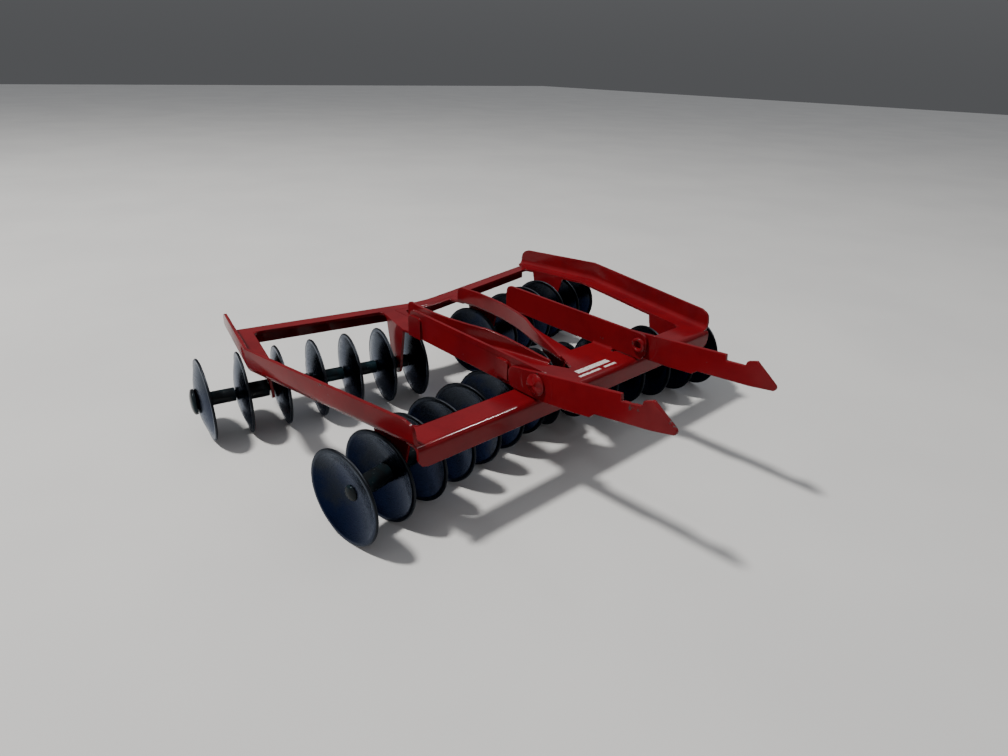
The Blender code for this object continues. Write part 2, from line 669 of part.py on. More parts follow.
def domeProfile(start, height, radius, steps=3):
    """Dome that stands on a flat base: negative heights point the other way."""
    angles = [radians(80 * k / steps) for k in range(steps + 1)]
    return [(start + height * sin(a), radius * cos(a)) for a in angles]


def gangAxle(name, isFront, side, mat):
    """Rod with its spacers, a mushroom head on the bulging side and a small end cap."""
    sign = bulgeSign(isFront)
    hub = discFace(ROD_RADIUS, isFront)
    last = (DISC_COUNT - 1) * DISC_PITCH
    capDisc, headDisc = (0, last) if isFront else (last, 0)
    capBase = capDisc + sign * (hub - SEAT_GAP)
    headBase = headDisc + sign * (hub + DISC_SHEET + SEAT_GAP)
    cap = domeProfile(capBase, -sign * CAP_HEIGHT, CAP_RADIUS)
    head = domeProfile(headBase, sign * HEAD_HEIGHT, HEAD_RADIUS)
    first, final = (cap, head) if isFront else (head, cap)
    profile = first[::-1] + [(first[0][0], ROD_RADIUS)]
    for start, end, radius in spacerEnds(isFront):
        profile += [(start, ROD_RADIUS), (start, radius), (end, radius), (end, ROD_RADIUS)]
    profile += [(final[0][0], ROD_RADIUS)] + final
    obj = turned(name, profile, AXLE_SIDES, Matrix.Identity(4), mat)
    obj.matrix_world = gangFrame(isFront, side)
    return obj


def centreOnOrigin(objects):
    """Bring the middle of the model's outline over the origin."""
    bpy.context.view_layer.update()
    ys = [(obj.matrix_world @ v.co).y for obj in objects for v in obj.data.vertices]
    shift = -(min(ys) + max(ys)) / 2
    root = bpy.data.objects.new('harrow', None)
    bpy.context.collection.objects.link(root)
    for obj in objects:
        obj.parent = root
    root.location = (0, shift, 0)


def main():
    for obj in list(bpy.data.objects):
        bpy.data.objects.remove(obj)
    enamel = material('red enamel', (0.42, 0.012, 0.02), 0.25, 0.0)
    blued = material('blued steel', (0.03, 0.045, 0.07), 0.3, 1.0)
    black = material('black axle', (0.01, 0.011, 0.014), 0.25, 0.6)

    objects = [harrowFrame(enamel)]
    for side, word, lift in ((1, 'left', LEFT_PRONG_LIFT), (-1, 'right', RIGHT_PRONG_LIFT)):
        objects.append(prong('hitch_prong_' + word, side, lift, enamel))
        objects.append(rivet('prong_rivet_' + word, side, enamel))
        for isFront, place in ((True, 'front'), (False, 'rear')):
            gang = place + '_' + word
            objects.append(gangAxle('axle_' + gang, isFront, side, black))
            for number in range(DISC_COUNT):
                name = 'disc_' + gang + '_' + str(number + 1)
                objects.append(disc(name, isFront, side, number, blued))
    for obj in objects:
        obj.data.shade_smooth()
        obj.data.set_sharp_from_angle(angle=radians(35))
    centreOnOrigin(objects)


main()
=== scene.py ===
from math import cos, pi, radians, sin

import bmesh
import bpy
import numpy as np
from mathutils import Matrix, Vector


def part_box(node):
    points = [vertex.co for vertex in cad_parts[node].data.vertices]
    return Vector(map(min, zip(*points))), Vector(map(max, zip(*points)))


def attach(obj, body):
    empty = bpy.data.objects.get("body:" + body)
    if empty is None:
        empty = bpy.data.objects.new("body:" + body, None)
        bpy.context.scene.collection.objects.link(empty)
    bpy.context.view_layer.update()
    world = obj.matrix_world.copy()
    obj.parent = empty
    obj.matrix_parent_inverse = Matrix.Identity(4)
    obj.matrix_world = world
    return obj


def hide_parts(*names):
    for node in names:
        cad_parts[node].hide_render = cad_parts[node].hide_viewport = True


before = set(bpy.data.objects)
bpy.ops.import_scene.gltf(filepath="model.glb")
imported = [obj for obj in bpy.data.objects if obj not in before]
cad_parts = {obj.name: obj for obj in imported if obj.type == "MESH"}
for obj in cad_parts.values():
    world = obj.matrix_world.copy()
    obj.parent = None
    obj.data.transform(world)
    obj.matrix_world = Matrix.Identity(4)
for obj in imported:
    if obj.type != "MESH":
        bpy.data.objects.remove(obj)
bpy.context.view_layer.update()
print("stage 1: packed frame loaded")

# The middle of the near rivet marks the hitch pivot, and all plan sizes count from there.
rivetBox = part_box("prong_rivet_left")
pivotY = (rivetBox[0][1] + rivetBox[1][1]) / 2
pivotZ = (rivetBox[0][2] + rivetBox[1][2]) / 2

camera = dict(
    place=(-0.1475, pivotY - 0.1188, 0.1199),
    forward=(0.6103, 0.6631, -0.4334),
    right=(0.7447, -0.6668, 0.0284),
    lens=23.35,                      # millimetres, as the sensor
    sensor=36.0,
    clip=(0.005, 20),
)

gang = dict(
    sweep=radians(11.5),
    pitch=0.0127,
    count=7,
    height=0.0143,
    front=(0.0816, 0.0145),          # centre of the outermost disc, across and aft
    rear=(0.0893, 0.0932),
    outerHanger=1.5,                 # in pitches from the outermost disc
    innerHanger=5.5,
    outerShift=0.0004,
    innerShift=-0.0008,
    rearLean=0.0016,                 # the outer rear hanger leans inwards by this at the rod
    hangerSheet=0.001,
)

disc = dict(
    radius=0.0143,
    bore=0.0015,
    sheet=0.0008,
    dish=dict(front=0.0032, rear=0.0024),
    rim=0.0012,
    bend=0.0003,                     # half the rounded turn between dish and rim
    dishRows=12,
    bendRows=3,
    edgeSweep=60,                    # degrees either side of the outermost line of the rim
    edgeRows=5,
    sides=96,
    gap=0.0003,                      # between a disc or hanger and the next spacer
    leans={("front", "right", 1): -4.0, ("front", "right", 2): -1.4, ("rear", "right", 1): 3.7},
    slides={("front", "right", 1): -0.0004},
    seed=dict(number=0.37, front=0.31, rear=0.77, side=0.13),  # spreads the tints over the discs
    sharp=35,                        # degrees at which shading breaks
)

axle = dict(
    rod=0.0012,
    tube=0.0024,
    wideTube=0.0030,
    wall=0.0006,
    seam=0.00018,                    # half the open joint of a rolled tube
    lip=0.00012,                     # rounding of a tube's edges
    lipCurve=0.3,                    # how far the middle of the rounding stands off its corner
    headRadius=0.00445,
    headHeight=0.0019,
    touch=0.00004,
    sunk=0.0001,                     # the rod runs this far into its head and cap
    capRadius=0.0024,
    capHeight=0.0014,
    seams=dict(front=205, rear=250),  # where the wide tube's joint faces, in degrees
    seamStart=40,                    # where a plain tube's joint faces, and its turn from tube to tube
    seamStep=83,
    seamTurn=60,
    sides=64,
    rodSides=32,
    sharp=40,
)

dome = dict(
    skirt=0.35,                      # upright part of a head or cap, as a share of its height
    foot=((0, 0), (0, 0.93), (0.04, 0.98), (0.12, 1)),  # rounded lower edge, shares of height and radius
    rows=14,
)

rivet = dict(
    shank=0.0016,
    inside=0.0225,
    outside=0.0256,
    head=0.0034,
    headHeight=0.0015,
    headSkirt=0.0003,
    headLip=0.0001,                  # rounding of the head's edge, along the rivet
    headFoot=0.96,
    tail=0.0026,
    tailHeight=0.0009,
    # the hollow tail, from the middle of its hole outwards: along from its end, and radius
    tailCurve=((0.0016, 0), (0.0016, 0.0012), (0.0002, 0.0014), (0, 0.0017), (0.0001, 0.0022),
               (0.0003, 0.0025), (0.0006, 0.0026)),
    lobes=3,
    lobeDepth=0.16,
    rows=16,
    sides=72,
    sharp=50,
)

sheetMetal = dict(frameBevel=0.00012, prongBevel=0.0002, segments=2, sharp=35, bevelFrom=40)

weld = dict(grid=0.0000005, sheet=0.000004)


def makeCamera(values):
    data = bpy.data.cameras.new("camera")
    data.lens = values["lens"]
    data.sensor_width = values["sensor"]
    data.clip_start, data.clip_end = values["clip"]
    view = bpy.data.objects.new("camera", data)
    bpy.context.scene.collection.objects.link(view)
    back = -Vector(values["forward"]).normalized()
    right = Vector(values["right"]).normalized()
    up = back.cross(right).normalized()
    right = up.cross(back)
    view.matrix_world = Matrix((
        (right.x, up.x, back.x, values["place"][0]),
        (right.y, up.y, back.y, values["place"][1]),
        (right.z, up.z, back.z, values["place"][2]),
        (0, 0, 0, 1)))
    bpy.context.scene.camera = view


makeCamera(camera)
print("stage 2: camera placed")


# Mesh helpers: every surface is a grid of points, rows by columns, whose columns close on themselves.

def gridShell(points, closeRows=False):
    # quad (i, j) joins points (i, j), (i+1, j), (i+1, j+1) and (i, j+1)
    rows, cols = points.shape[:2]
    index = np.arange(rows * cols).reshape(rows, cols)
    if closeRows:
        index = np.vstack([index, index[:1]])
    index = np.hstack([index, index[:, :1]])
    quads = np.stack([index[:-1, :-1], index[1:, :-1], index[1:, 1:], index[:-1, 1:]], -1)
    faces = quads.reshape(-1, 4).tolist()
    if not closeRows:
        faces += [list(range(cols)), list(range((rows - 1) * cols, rows * cols))[::-1]]
    return points.reshape(-1, 3), faces


def turnedGrid(profile, angles):
    # point = (along, radius * cos a, radius * sin a) for each profile point and angle a
    along, radius = np.asarray(profile, float).T
    grid = np.empty((len(along), len(angles), 3))
    grid[..., 0] = along[:, None]
    grid[..., 1] = radius[:, None] * np.cos(angles)
    grid[..., 2] = radius[:, None] * np.sin(angles)
    return grid


def fullTurn(sides):
    return np.linspace(0, 2 * pi, sides, endpoint=False)


def placed(points, place):
    # row frame = rotation * local + origin
    turn = np.array(place.to_3x3())
    return points @ turn.T + np.array(place.translation)


def makePiece(name, shells, place, sharp, seed=0.0):
    # "own" keeps each point's place in its gang, so a disc's colours turn with the disc
    ownPoints = np.vstack([points for points, shellFaces in shells])
    faces = []
    start = 0
    for points, shellFaces in shells:
        faces += [[v + start for v in face] for face in shellFaces]
        start += len(points)
    mesh = bpy.data.meshes.new(name)
    mesh.from_pydata(placed(ownPoints, place), [], faces)
    own = mesh.attributes.new("own", "FLOAT_VECTOR", "POINT")
    own.data.foreach_set("vector", ownPoints.astype(np.float32).ravel())
    number = mesh.attributes.new("seed", "FLOAT", "POINT")
    number.data.foreach_set("value", np.full(len(ownPoints), seed, np.float32))
    work = bmesh.new()
    work.from_mesh(mesh)
    bmesh.ops.remove_doubles(work, verts=work.verts, dist=weld["grid"])
    bmesh.ops.recalc_face_normals(work, faces=work.faces)
    work.to_mesh(mesh)
    work.free()
    mesh.shade_smooth()
    mesh.set_sharp_from_angle(angle=radians(sharp))
    piece = bpy.data.objects.new(name, mesh)
    bpy.context.scene.collection.objects.link(piece)
    return piece


def gangPlace(row, side):
    # local X runs from the outermost disc towards the middle, local Z is up
    x, y = gang[row]
    turn = gang["sweep"] if row == "front" else -gang["sweep"]
    along = Vector((-side * cos(turn), sin(turn), 0))
    across = Vector((-along.y, along.x, 0))
    return Matrix((
        (along.x, across.x, 0, side * x),
        (along.y, across.y, 0, pivotY + y),
        (0, 0, 1, gang["height"]),
        (0, 0, 0, 1)))


def dishDepth(radius, row):
    # flat rim, then a ball of radius (d*d + h*h) / 2h under a dish of depth h and half width d
    half = disc["radius"] - disc["rim"]
    deep = disc["dish"][row]
    ball = (half ** 2 + deep ** 2) / (2 * deep)
    inside = np.minimum(radius, half)
    return deep - ball + np.sqrt(ball ** 2 - inside ** 2)


def discPiece(name, row, side, number):
    # closed section: out along one face, round the rim by edge * (1 + sin a, cos a), back along the other
    sign = 1 if row == "front" else -1
    half = disc["radius"] - disc["rim"]
    edge = disc["sheet"] / 2
    bend = disc["bend"]
    radii = np.concatenate([
        np.linspace(disc["bore"], half - 2 * bend, disc["dishRows"]),
        np.linspace(half - bend, half + bend, disc["bendRows"]),
        np.linspace(half + 2 * bend, disc["radius"] - edge, disc["bendRows"])])
    face = dishDepth(radii, row)
    bow = np.radians(np.linspace(-disc["edgeSweep"], disc["edgeSweep"], disc["edgeRows"]))
    rimAlong = edge + edge * np.sin(bow)
    rimRadius = disc["radius"] - edge + edge * np.cos(bow)
    along = np.concatenate([face, rimAlong, (face + disc["sheet"])[::-1]])
    radius = np.concatenate([radii, rimRadius, radii[::-1]])
    grid = turnedGrid(np.stack([sign * along, radius], 1), fullTurn(disc["sides"]))
    slide = disc["slides"].get((row, side[0], number), 0)
    place = gangPlace(row, side[1]) @ Matrix.Translation(((number - 1) * gang["pitch"] + slide, 0, 0))
    lean = disc["leans"].get((row, side[0], number), 0)
    centre = place.translation.copy()
    upright = Matrix.Translation(centre) @ Matrix.Rotation(radians(lean), 4, "Z")
    place = upright @ Matrix.Translation(-centre) @ place
    spread = disc["seed"]
    seed = (number * spread["number"] + spread[row] + side[1] * spread["side"]) % 1
    return makePiece(name, [gridShell(grid, True)], place, disc["sharp"], seed)


def tubeShell(start, end, radius, seamAt):
    # rounded wall section (along, radius) carried round the rod from one lip of the joint to the other
    soft = axle["lip"]
    curve = soft * axle["lipCurve"]
    inner = radius - axle["wall"]
    section = [(start + soft, inner), (end - soft, inner), (end, inner + soft), (end, radius - soft),
               (end - curve, radius - curve), (end - soft, radius), (start + soft, radius),
               (start + curve, radius - curve), (start, radius - soft), (start, inner + soft)]
    halfSeam = axle["seam"] / radius
    angles = radians(seamAt) + np.linspace(halfSeam, 2 * pi - halfSeam, axle["sides"])
    grid = turnedGrid(section, angles).transpose(1, 0, 2)
    return gridShell(grid)


def domeShell(base, height, radius):
    # a low dome on a short upright edge: radius * cos a, height * (skirt + (1 - skirt) * sin a)
    turn = np.radians(np.linspace(0, 90, dome["rows"]))
    along = base + height * (dome["skirt"] + (1 - dome["skirt"]) * np.sin(turn))
    wide = radius * np.cos(turn)
    foot = np.array([(base + height * up, radius * out) for up, out in dome["foot"]])
    profile = np.vstack([foot, np.stack([along, wide], 1)])
    return gridShell(turnedGrid(profile, fullTurn(axle["sides"])))


def axlePiece(name, row, side):
    # rod, cap and head, and between each two discs one tube, or two where a hanger stands between them
    sign = 1 if row == "front" else -1
    hub = float(dishDepth(np.array(axle["rod"]), row))
    low, high = sorted((sign * hub, sign * (hub + disc["sheet"])))
    shift = -sign
    lean = 0 if row == "front" else gang["rearLean"]
    hangers = (gang["outerHanger"] * gang["pitch"] + shift * gang["outerShift"] + lean,
               gang["innerHanger"] * gang["pitch"] + shift * gang["innerShift"])
    last = (gang["count"] - 1) * gang["pitch"]
    capDisc, headDisc = (0, last) if row == "front" else (last, 0)
    capBase = capDisc + sign * (hub - axle["touch"])
    headBase = headDisc + sign * (hub + disc["sheet"] + axle["touch"])
    ends = sorted((capBase, headBase))
    rodLine = [(ends[0] - axle["sunk"], axle["rod"]), (ends[1] + axle["sunk"], axle["rod"])]
    rod = gridShell(turnedGrid(rodLine, fullTurn(axle["rodSides"])))
    shells = [rod, domeShell(capBase, -sign * axle["capHeight"], axle["capRadius"]),
              domeShell(headBase, sign * axle["headHeight"], axle["headRadius"])]
    for number in range(gang["count"] - 1):
        start = number * gang["pitch"] + high + disc["gap"]
        end = (number + 1) * gang["pitch"] + low - disc["gap"]
        turn = axle["seamStart"] + axle["seamStep"] * number
        middle = [h for h in hangers if start < h < end]
        if not middle:
            broad = row == "front" and number == 0
            shells.append(tubeShell(start, end, axle["wideTube" if broad else "tube"], turn))
            continue
        wide = middle[0] == hangers[0]
        reach = gang["hangerSheet"] / 2 + disc["gap"]
        first = axle["wideTube"] if wide else axle["tube"]
        shells.append(tubeShell(start, middle[0] - reach, first, axle["seams"][row] if wide else turn))
        shells.append(tubeShell(middle[0] + reach, end, axle["tube"], turn + axle["seamTurn"]))
    return makePiece(name, shells, gangPlace(row, side), axle["sharp"])


def rivetPiece(name, side):
    # head height falls off as sin a, and cos(lobes * angle) presses three flats into its shoulder
    outside = rivet["outside"]
    skirt = rivet["headSkirt"]
    turn = np.radians(np.linspace(0, 90, rivet["rows"]))
    tail = rivet["inside"] - rivet["tailHeight"]
    profile = [(tail + along, radius) for along, radius in rivet["tailCurve"]]
    profile += [(rivet["inside"], rivet["tail"]), (rivet["inside"], rivet["shank"]),
                (outside, rivet["shank"]), (outside, rivet["head"] * rivet["headFoot"]),
                (outside + rivet["headLip"], rivet["head"])]
    count = len(profile)
    crown = rivet["headHeight"] - skirt
    profile += [(outside + skirt + crown * sin(a), rivet["head"] * cos(a)) for a in turn]
    angles = fullTurn(rivet["sides"])
    grid = turnedGrid(profile, angles)
    shoulder = np.sin(2 * turn)[:, None] * (0.5 + 0.5 * np.cos(rivet["lobes"] * angles))[None, :]
    grid[count:, :, 0] -= shoulder * rivet["lobeDepth"] * rivet["headHeight"] * 2
    place = Matrix(((side, 0, 0, 0), (0, side, 0, pivotY), (0, 0, 1, pivotZ), (0, 0, 0, 1)))
    return makePiece(name, [gridShell(grid)], place, rivet["sharp"])


def sheetPiece(name, source, bevel):
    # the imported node, its points merged and its cut edges eased
    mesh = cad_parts[source].data.copy()
    mesh.name = name
    mesh.materials.clear()
    if "custom_normal" in mesh.attributes:
        mesh.attributes.remove(mesh.attributes["custom_normal"])
    work = bmesh.new()
    work.from_mesh(mesh)
    bmesh.ops.remove_doubles(work, verts=work.verts, dist=weld["sheet"])
    work.to_mesh(mesh)
    work.free()
    mesh.shade_smooth()
    mesh.set_sharp_from_angle(angle=radians(sheetMetal["sharp"]))
    piece = bpy.data.objects.new(name, mesh)
    bpy.context.scene.collection.objects.link(piece)
    ease = piece.modifiers.new("eased edges", "BEVEL")
    ease.width = bevel
    ease.segments = sheetMetal["segments"]
    ease.limit_method = "ANGLE"
    ease.angle_limit = radians(sheetMetal["bevelFrom"])
    ease.use_clamp_overlap = False
    even = piece.modifiers.new("even shading", "WEIGHTED_NORMAL")
    even.keep_sharp = True
    return piece


# Shader helpers: the groups hand over masks, heights and colours, and each material keeps its own shader.

def newGroup(name, inputs, outputs):
    tree = bpy.data.node_groups.new(name, "ShaderNodeTree")
    for label, kind, value in inputs:
        socket = tree.interface.new_socket(label, in_out="INPUT", socket_type=kind)
        if value is not None:
            socket.default_value = value
    for label, kind in outputs:
        tree.interface.new_socket(label, in_out="OUTPUT", socket_type=kind)
    return tree, tree.nodes.new("NodeGroupInput").outputs, tree.nodes.new("NodeGroupOutput").inputs


def node(tree, kind, values=None, links=None, **settings):
    made = tree.nodes.new(kind)
    for key, value in settings.items():
        setattr(made, key, value)
    for key, value in (values or {}).items():
        made.inputs[key].default_value = value
    for key, source in (links or {}).items():
        tree.links.new(source, made.inputs[key])
    return made


def calc(tree, operation, *terms, clamp=False):
    made = tree.nodes.new("ShaderNodeMath")
    made.operation = operation
    made.use_clamp = clamp
    for k, term in enumerate(terms):
        if isinstance(term, (int, float)):
            made.inputs[k].default_value = term
        else:
            tree.links.new(term, made.inputs[k])
    return made.outputs[0]


def noise(tree, vector, scale, detail=4.0, rough=0.55):
    return node(tree, "ShaderNodeTexNoise", {"Scale": scale, "Detail": detail, "Roughness": rough},
                {"Vector": vector}).outputs["Fac"]


def ramp(tree, value, low, high, start=0.0, end=1.0):
    made = node(tree, "ShaderNodeMapRange", {1: low, 2: high, 3: start, 4: end}, {0: value}, clamp=True)
    made.interpolation_type = "SMOOTHSTEP"
    return made.outputs[0]


def mixColour(tree, amount, first, second):
    made = tree.nodes.new("ShaderNodeMix")
    made.data_type = "RGBA"
    for key, term in ((0, amount), (6, first), (7, second)):
        if isinstance(term, tuple):
            made.inputs[key].default_value = (*term, 1)
        elif isinstance(term, float):
            made.inputs[key].default_value = term
        else:
            tree.links.new(term, made.inputs[key])
    return made.outputs[2]


wear = dict(
    detail=6.0,
    rough=0.62,
    broadScale=170.0,
    broadDetail=3.0,
    fineShare=0.7,
    soft=0.012,
    lifted=0.03,                     # the paint lifts this much before it chips
)


def makeWearGroup():
    # mask = 1 where fine noise, helped by a broad noise, tops 1 - amount
    tree, into, out = newGroup("paint wear", [
        ("Vector", "NodeSocketVector", None), ("Amount", "NodeSocketFloat", 0.0),
        ("Scale", "NodeSocketFloat", 700.0)], [("Mask", "NodeSocketFloat"), ("Edge", "NodeSocketFloat")])
    fine = node(tree, "ShaderNodeTexNoise", {"Detail": wear["detail"], "Roughness": wear["rough"]},
                {"Vector": into["Vector"], "Scale": into["Scale"]}).outputs["Fac"]
    broad = noise(tree, into["Vector"], wear["broadScale"], wear["broadDetail"])
    both = calc(tree, "ADD", calc(tree, "MULTIPLY", fine, wear["fineShare"]),
                calc(tree, "MULTIPLY", broad, 1 - wear["fineShare"]))
    level = calc(tree, "SUBTRACT", 1.0, into["Amount"])
    over = calc(tree, "SUBTRACT", both, level)
    tree.links.new(ramp(tree, over, 0.0, wear["soft"]), out["Mask"])
    tree.links.new(ramp(tree, over, -wear["lifted"], wear["soft"]), out["Edge"])
    return tree


# Every noise is given by its scale and detail, and a third value where its roughness isn't the usual one.
skinNoise = dict(waves=(420.0, 2.0), grain=(2600.0, 3.0), grime=(60.0, 6.0, 0.65))


def makeSkinGroup():
    # height of a sprayed or polished skin: broad waves plus fine grain
    tree, into, out = newGroup("skin", [
        ("Vector", "NodeSocketVector", None), ("Waves", "NodeSocketFloat", 0.5),
        ("Grain", "NodeSocketFloat", 0.2)], [("Height", "NodeSocketFloat"), ("Grime", "NodeSocketFloat")])
    waves = noise(tree, into["Vector"], *skinNoise["waves"])
    grain = noise(tree, into["Vector"], *skinNoise["grain"])
    grime = noise(tree, into["Vector"], *skinNoise["grime"])
    height = calc(tree, "ADD", calc(tree, "MULTIPLY", waves, into["Waves"]),
                  calc(tree, "MULTIPLY", grain, into["Grain"]))
    tree.links.new(height, out["Height"])
    tree.links.new(grime, out["Grime"])
    return tree


wearGroup = makeWearGroup()
skinGroup = makeSkinGroup()


def useGroup(tree, group, values, links):
    # values set the sockets by name, links join them
    made = tree.nodes.new("ShaderNodeGroup")
    made.node_tree = group
    for key, value in values.items():
        made.inputs[key].default_value = value
    for key, source in links.items():
        tree.links.new(source, made.inputs[key])
    return made.outputs


def startMaterial(name):
    mat = bpy.data.materials.new(name)
    mat.use_nodes = True
    tree = mat.node_tree
    shader = tree.nodes["Principled BSDF"]
    coords = tree.nodes.new("ShaderNodeTexCoord").outputs["Object"]
    return mat, tree, shader, coords


def setCoat(shader, coat):
    shader.inputs["Coat Weight"].default_value = coat[0]
    shader.inputs["Coat Roughness"].default_value = coat[1]


def distance(tree, coords, place):
    return node(tree, "ShaderNodeVectorMath", {1: place}, {0: coords}, operation="DISTANCE").outputs["Value"]


def spotMask(tree, coords, spots):
    # strongest of strength * (1 - distance / reach) over the worn spots
    total = None
    for place, reach, strength in spots:
        part = ramp(tree, distance(tree, coords, place), 0.0, reach, strength, 0.0)
        total = part if total is None else calc(tree, "MAXIMUM", total, part)
    return total


enamel = dict(
    colour=(0.160, 0.0056, 0.0088),
    deep=(0.120, 0.0038, 0.0066),
    bare=(0.055, 0.05, 0.05),
    rough=0.15,
    roughSpread=(-0.05, 0.09),
    gloss=0.15,
    coat=(0.03, 0.05),               # weight and roughness
    skin={"Waves": 0.55, "Grain": 0.12},
    toneFrom=(0.38, 0.68),           # grime levels between the two reds
    roughFrom=(0.35, 0.7),
    wear=0.33,
    chipScale=520.0,
    chipRough=0.25,
    chipMetal=0.7,
    chipDepth=1.2,
    bump={"Strength": 0.16, "Distance": 0.0001},
    bossEdge=0.0005,
    bossRise=12.0,
    # plain printed bars: middle across, half length, middle aft of the pivot, half width
    bars=((0.0067, 0.0077, 0.0059, 0.0010), (0.00235, 0.00505, 0.0031, 0.00045),
          (0.0122, 0.0028, 0.0031, 0.00045)),
    barColour=(0.62, 0.60, 0.58),
    barSoft=0.00008,
    barFlecks=(2400.0, 3.0),
    barFlecksFrom=(0.36, 0.44),      # noise levels where the print breaks up
    plateTop=0.0305,
)


def bossHeight(tree, coords, pivot, reach):
    # a low round boss: 1 inside the reach, falling to 0 over its edge
    return ramp(tree, distance(tree, coords, pivot), reach, reach + enamel["bossEdge"], 1.0, 0.0)


def barMask(tree, coords):
    # 1 inside any printed bar: |x - middle| < half length, |y - middle| < half width, above the plate
    split = node(tree, "ShaderNodeSeparateXYZ", None, {0: coords}).outputs
    soft = enamel["barSoft"]
    total = None
    for x, halfX, y, halfY in enamel["bars"]:
        spanX = calc(tree, "ABSOLUTE", calc(tree, "SUBTRACT", split[0], x))
        spanY = calc(tree, "ABSOLUTE", calc(tree, "SUBTRACT", split[1], pivotY + y))
        part = calc(tree, "MULTIPLY", ramp(tree, spanX, halfX, halfX + soft, 1.0, 0.0),
                    ramp(tree, spanY, halfY, halfY + soft, 1.0, 0.0))
        total = part if total is None else calc(tree, "MAXIMUM", total, part)
    above = calc(tree, "GREATER_THAN", split[2], enamel["plateTop"])
    return calc(tree, "MULTIPLY", total, above)


def makeEnamel(name, spots, boss=None, printed=False):
    # red paint over bare metal: colour and height both follow the chips
    mat, tree, shader, coords = startMaterial(name)
    skin = useGroup(tree, skinGroup, enamel["skin"], {"Vector": coords})
    amount = calc(tree, "ADD", spotMask(tree, coords, spots), enamel["wear"])
    chips = useGroup(tree, wearGroup, {"Scale": enamel["chipScale"]}, {"Vector": coords, "Amount": amount})
    tone = mixColour(tree, ramp(tree, skin["Grime"], *enamel["toneFrom"]), enamel["colour"], enamel["deep"])
    if printed:
        flecks = ramp(tree, noise(tree, coords, *enamel["barFlecks"]), *enamel["barFlecksFrom"])
        inked = calc(tree, "MULTIPLY", barMask(tree, coords), flecks)
        tone = mixColour(tree, inked, tone, enamel["barColour"])
    colour = mixColour(tree, chips["Mask"], tone, enamel["bare"])
    tree.links.new(colour, shader.inputs["Base Color"])
    low, high = enamel["roughSpread"]
    dulled = ramp(tree, skin["Grime"], *enamel["roughFrom"], enamel["rough"] + low, enamel["rough"] + high)
    rough = calc(tree, "ADD", dulled, calc(tree, "MULTIPLY", chips["Mask"], enamel["chipRough"]))
    tree.links.new(rough, shader.inputs["Roughness"])
    tree.links.new(calc(tree, "MULTIPLY", chips["Mask"], enamel["chipMetal"]), shader.inputs["Metallic"])
    sunk = calc(tree, "MULTIPLY", chips["Edge"], enamel["chipDepth"])
    height = calc(tree, "SUBTRACT", skin["Height"], sunk)
    if boss:
        rise = calc(tree, "MULTIPLY", bossHeight(tree, coords, *boss), enamel["bossRise"])
        height = calc(tree, "ADD", height, rise)
    bump = node(tree, "ShaderNodeBump", enamel["bump"], {"Height": height})
    tree.links.new(bump.outputs[0], shader.inputs["Normal"])
    shader.inputs["Specular IOR Level"].default_value = enamel["gloss"]
    setCoat(shader, enamel["coat"])
    return mat


blued = dict(
    grey=(0.0145, 0.0175, 0.0235),
    blue=(0.0034, 0.0075, 0.0300),
    dark=(0.0030, 0.0052, 0.0120),
    # painted highlight: the flat rim band is lightened towards this colour all round the disc
    rim=(0.032, 0.037, 0.044),
    lip=(0.018, 0.020, 0.024),
    speck=(0.20, 0.20, 0.20),
    sheen=(0.86, 0.91, 1, 1),        # colour of what glances off
    paintedRimHighlightShare=0.3,
    paintedRimHighlightFrom=(-0.0002, 0.0003),       # either side of where the flat rim starts
    lipFrom=(-0.0006, -0.0003),      # inside the cut edge
    rough=0.24,
    roughSpread=0.07,
    brushFrom=(0.3, 0.7),
    grimeRough=0.08,
    grimeFrom=(0.4, 0.7),
    lipRough=0.2,
    skin={"Waves": 0.5, "Grain": 0.25},
    apart=0.31,                      # how far the seed moves a disc's pattern
    ringStretch=9.0,
    rings=(420.0, 5.0, 0.6),
    ringDepth=0.35,
    drift=-14.0,                     # blue gathers towards the lower half
    clouds=(75.0, 4.0),
    seedTint=0.10,
    blueFrom=(0.36, 0.60),
    shade=0.35,                      # most darkening from the seed, and again from the grime
    shadeFrom=(0.45, 0.75),
    specks={"Scale": 900.0, "Amount": 0.30},
    bump={"Strength": 0.12, "Distance": 0.00008},
)


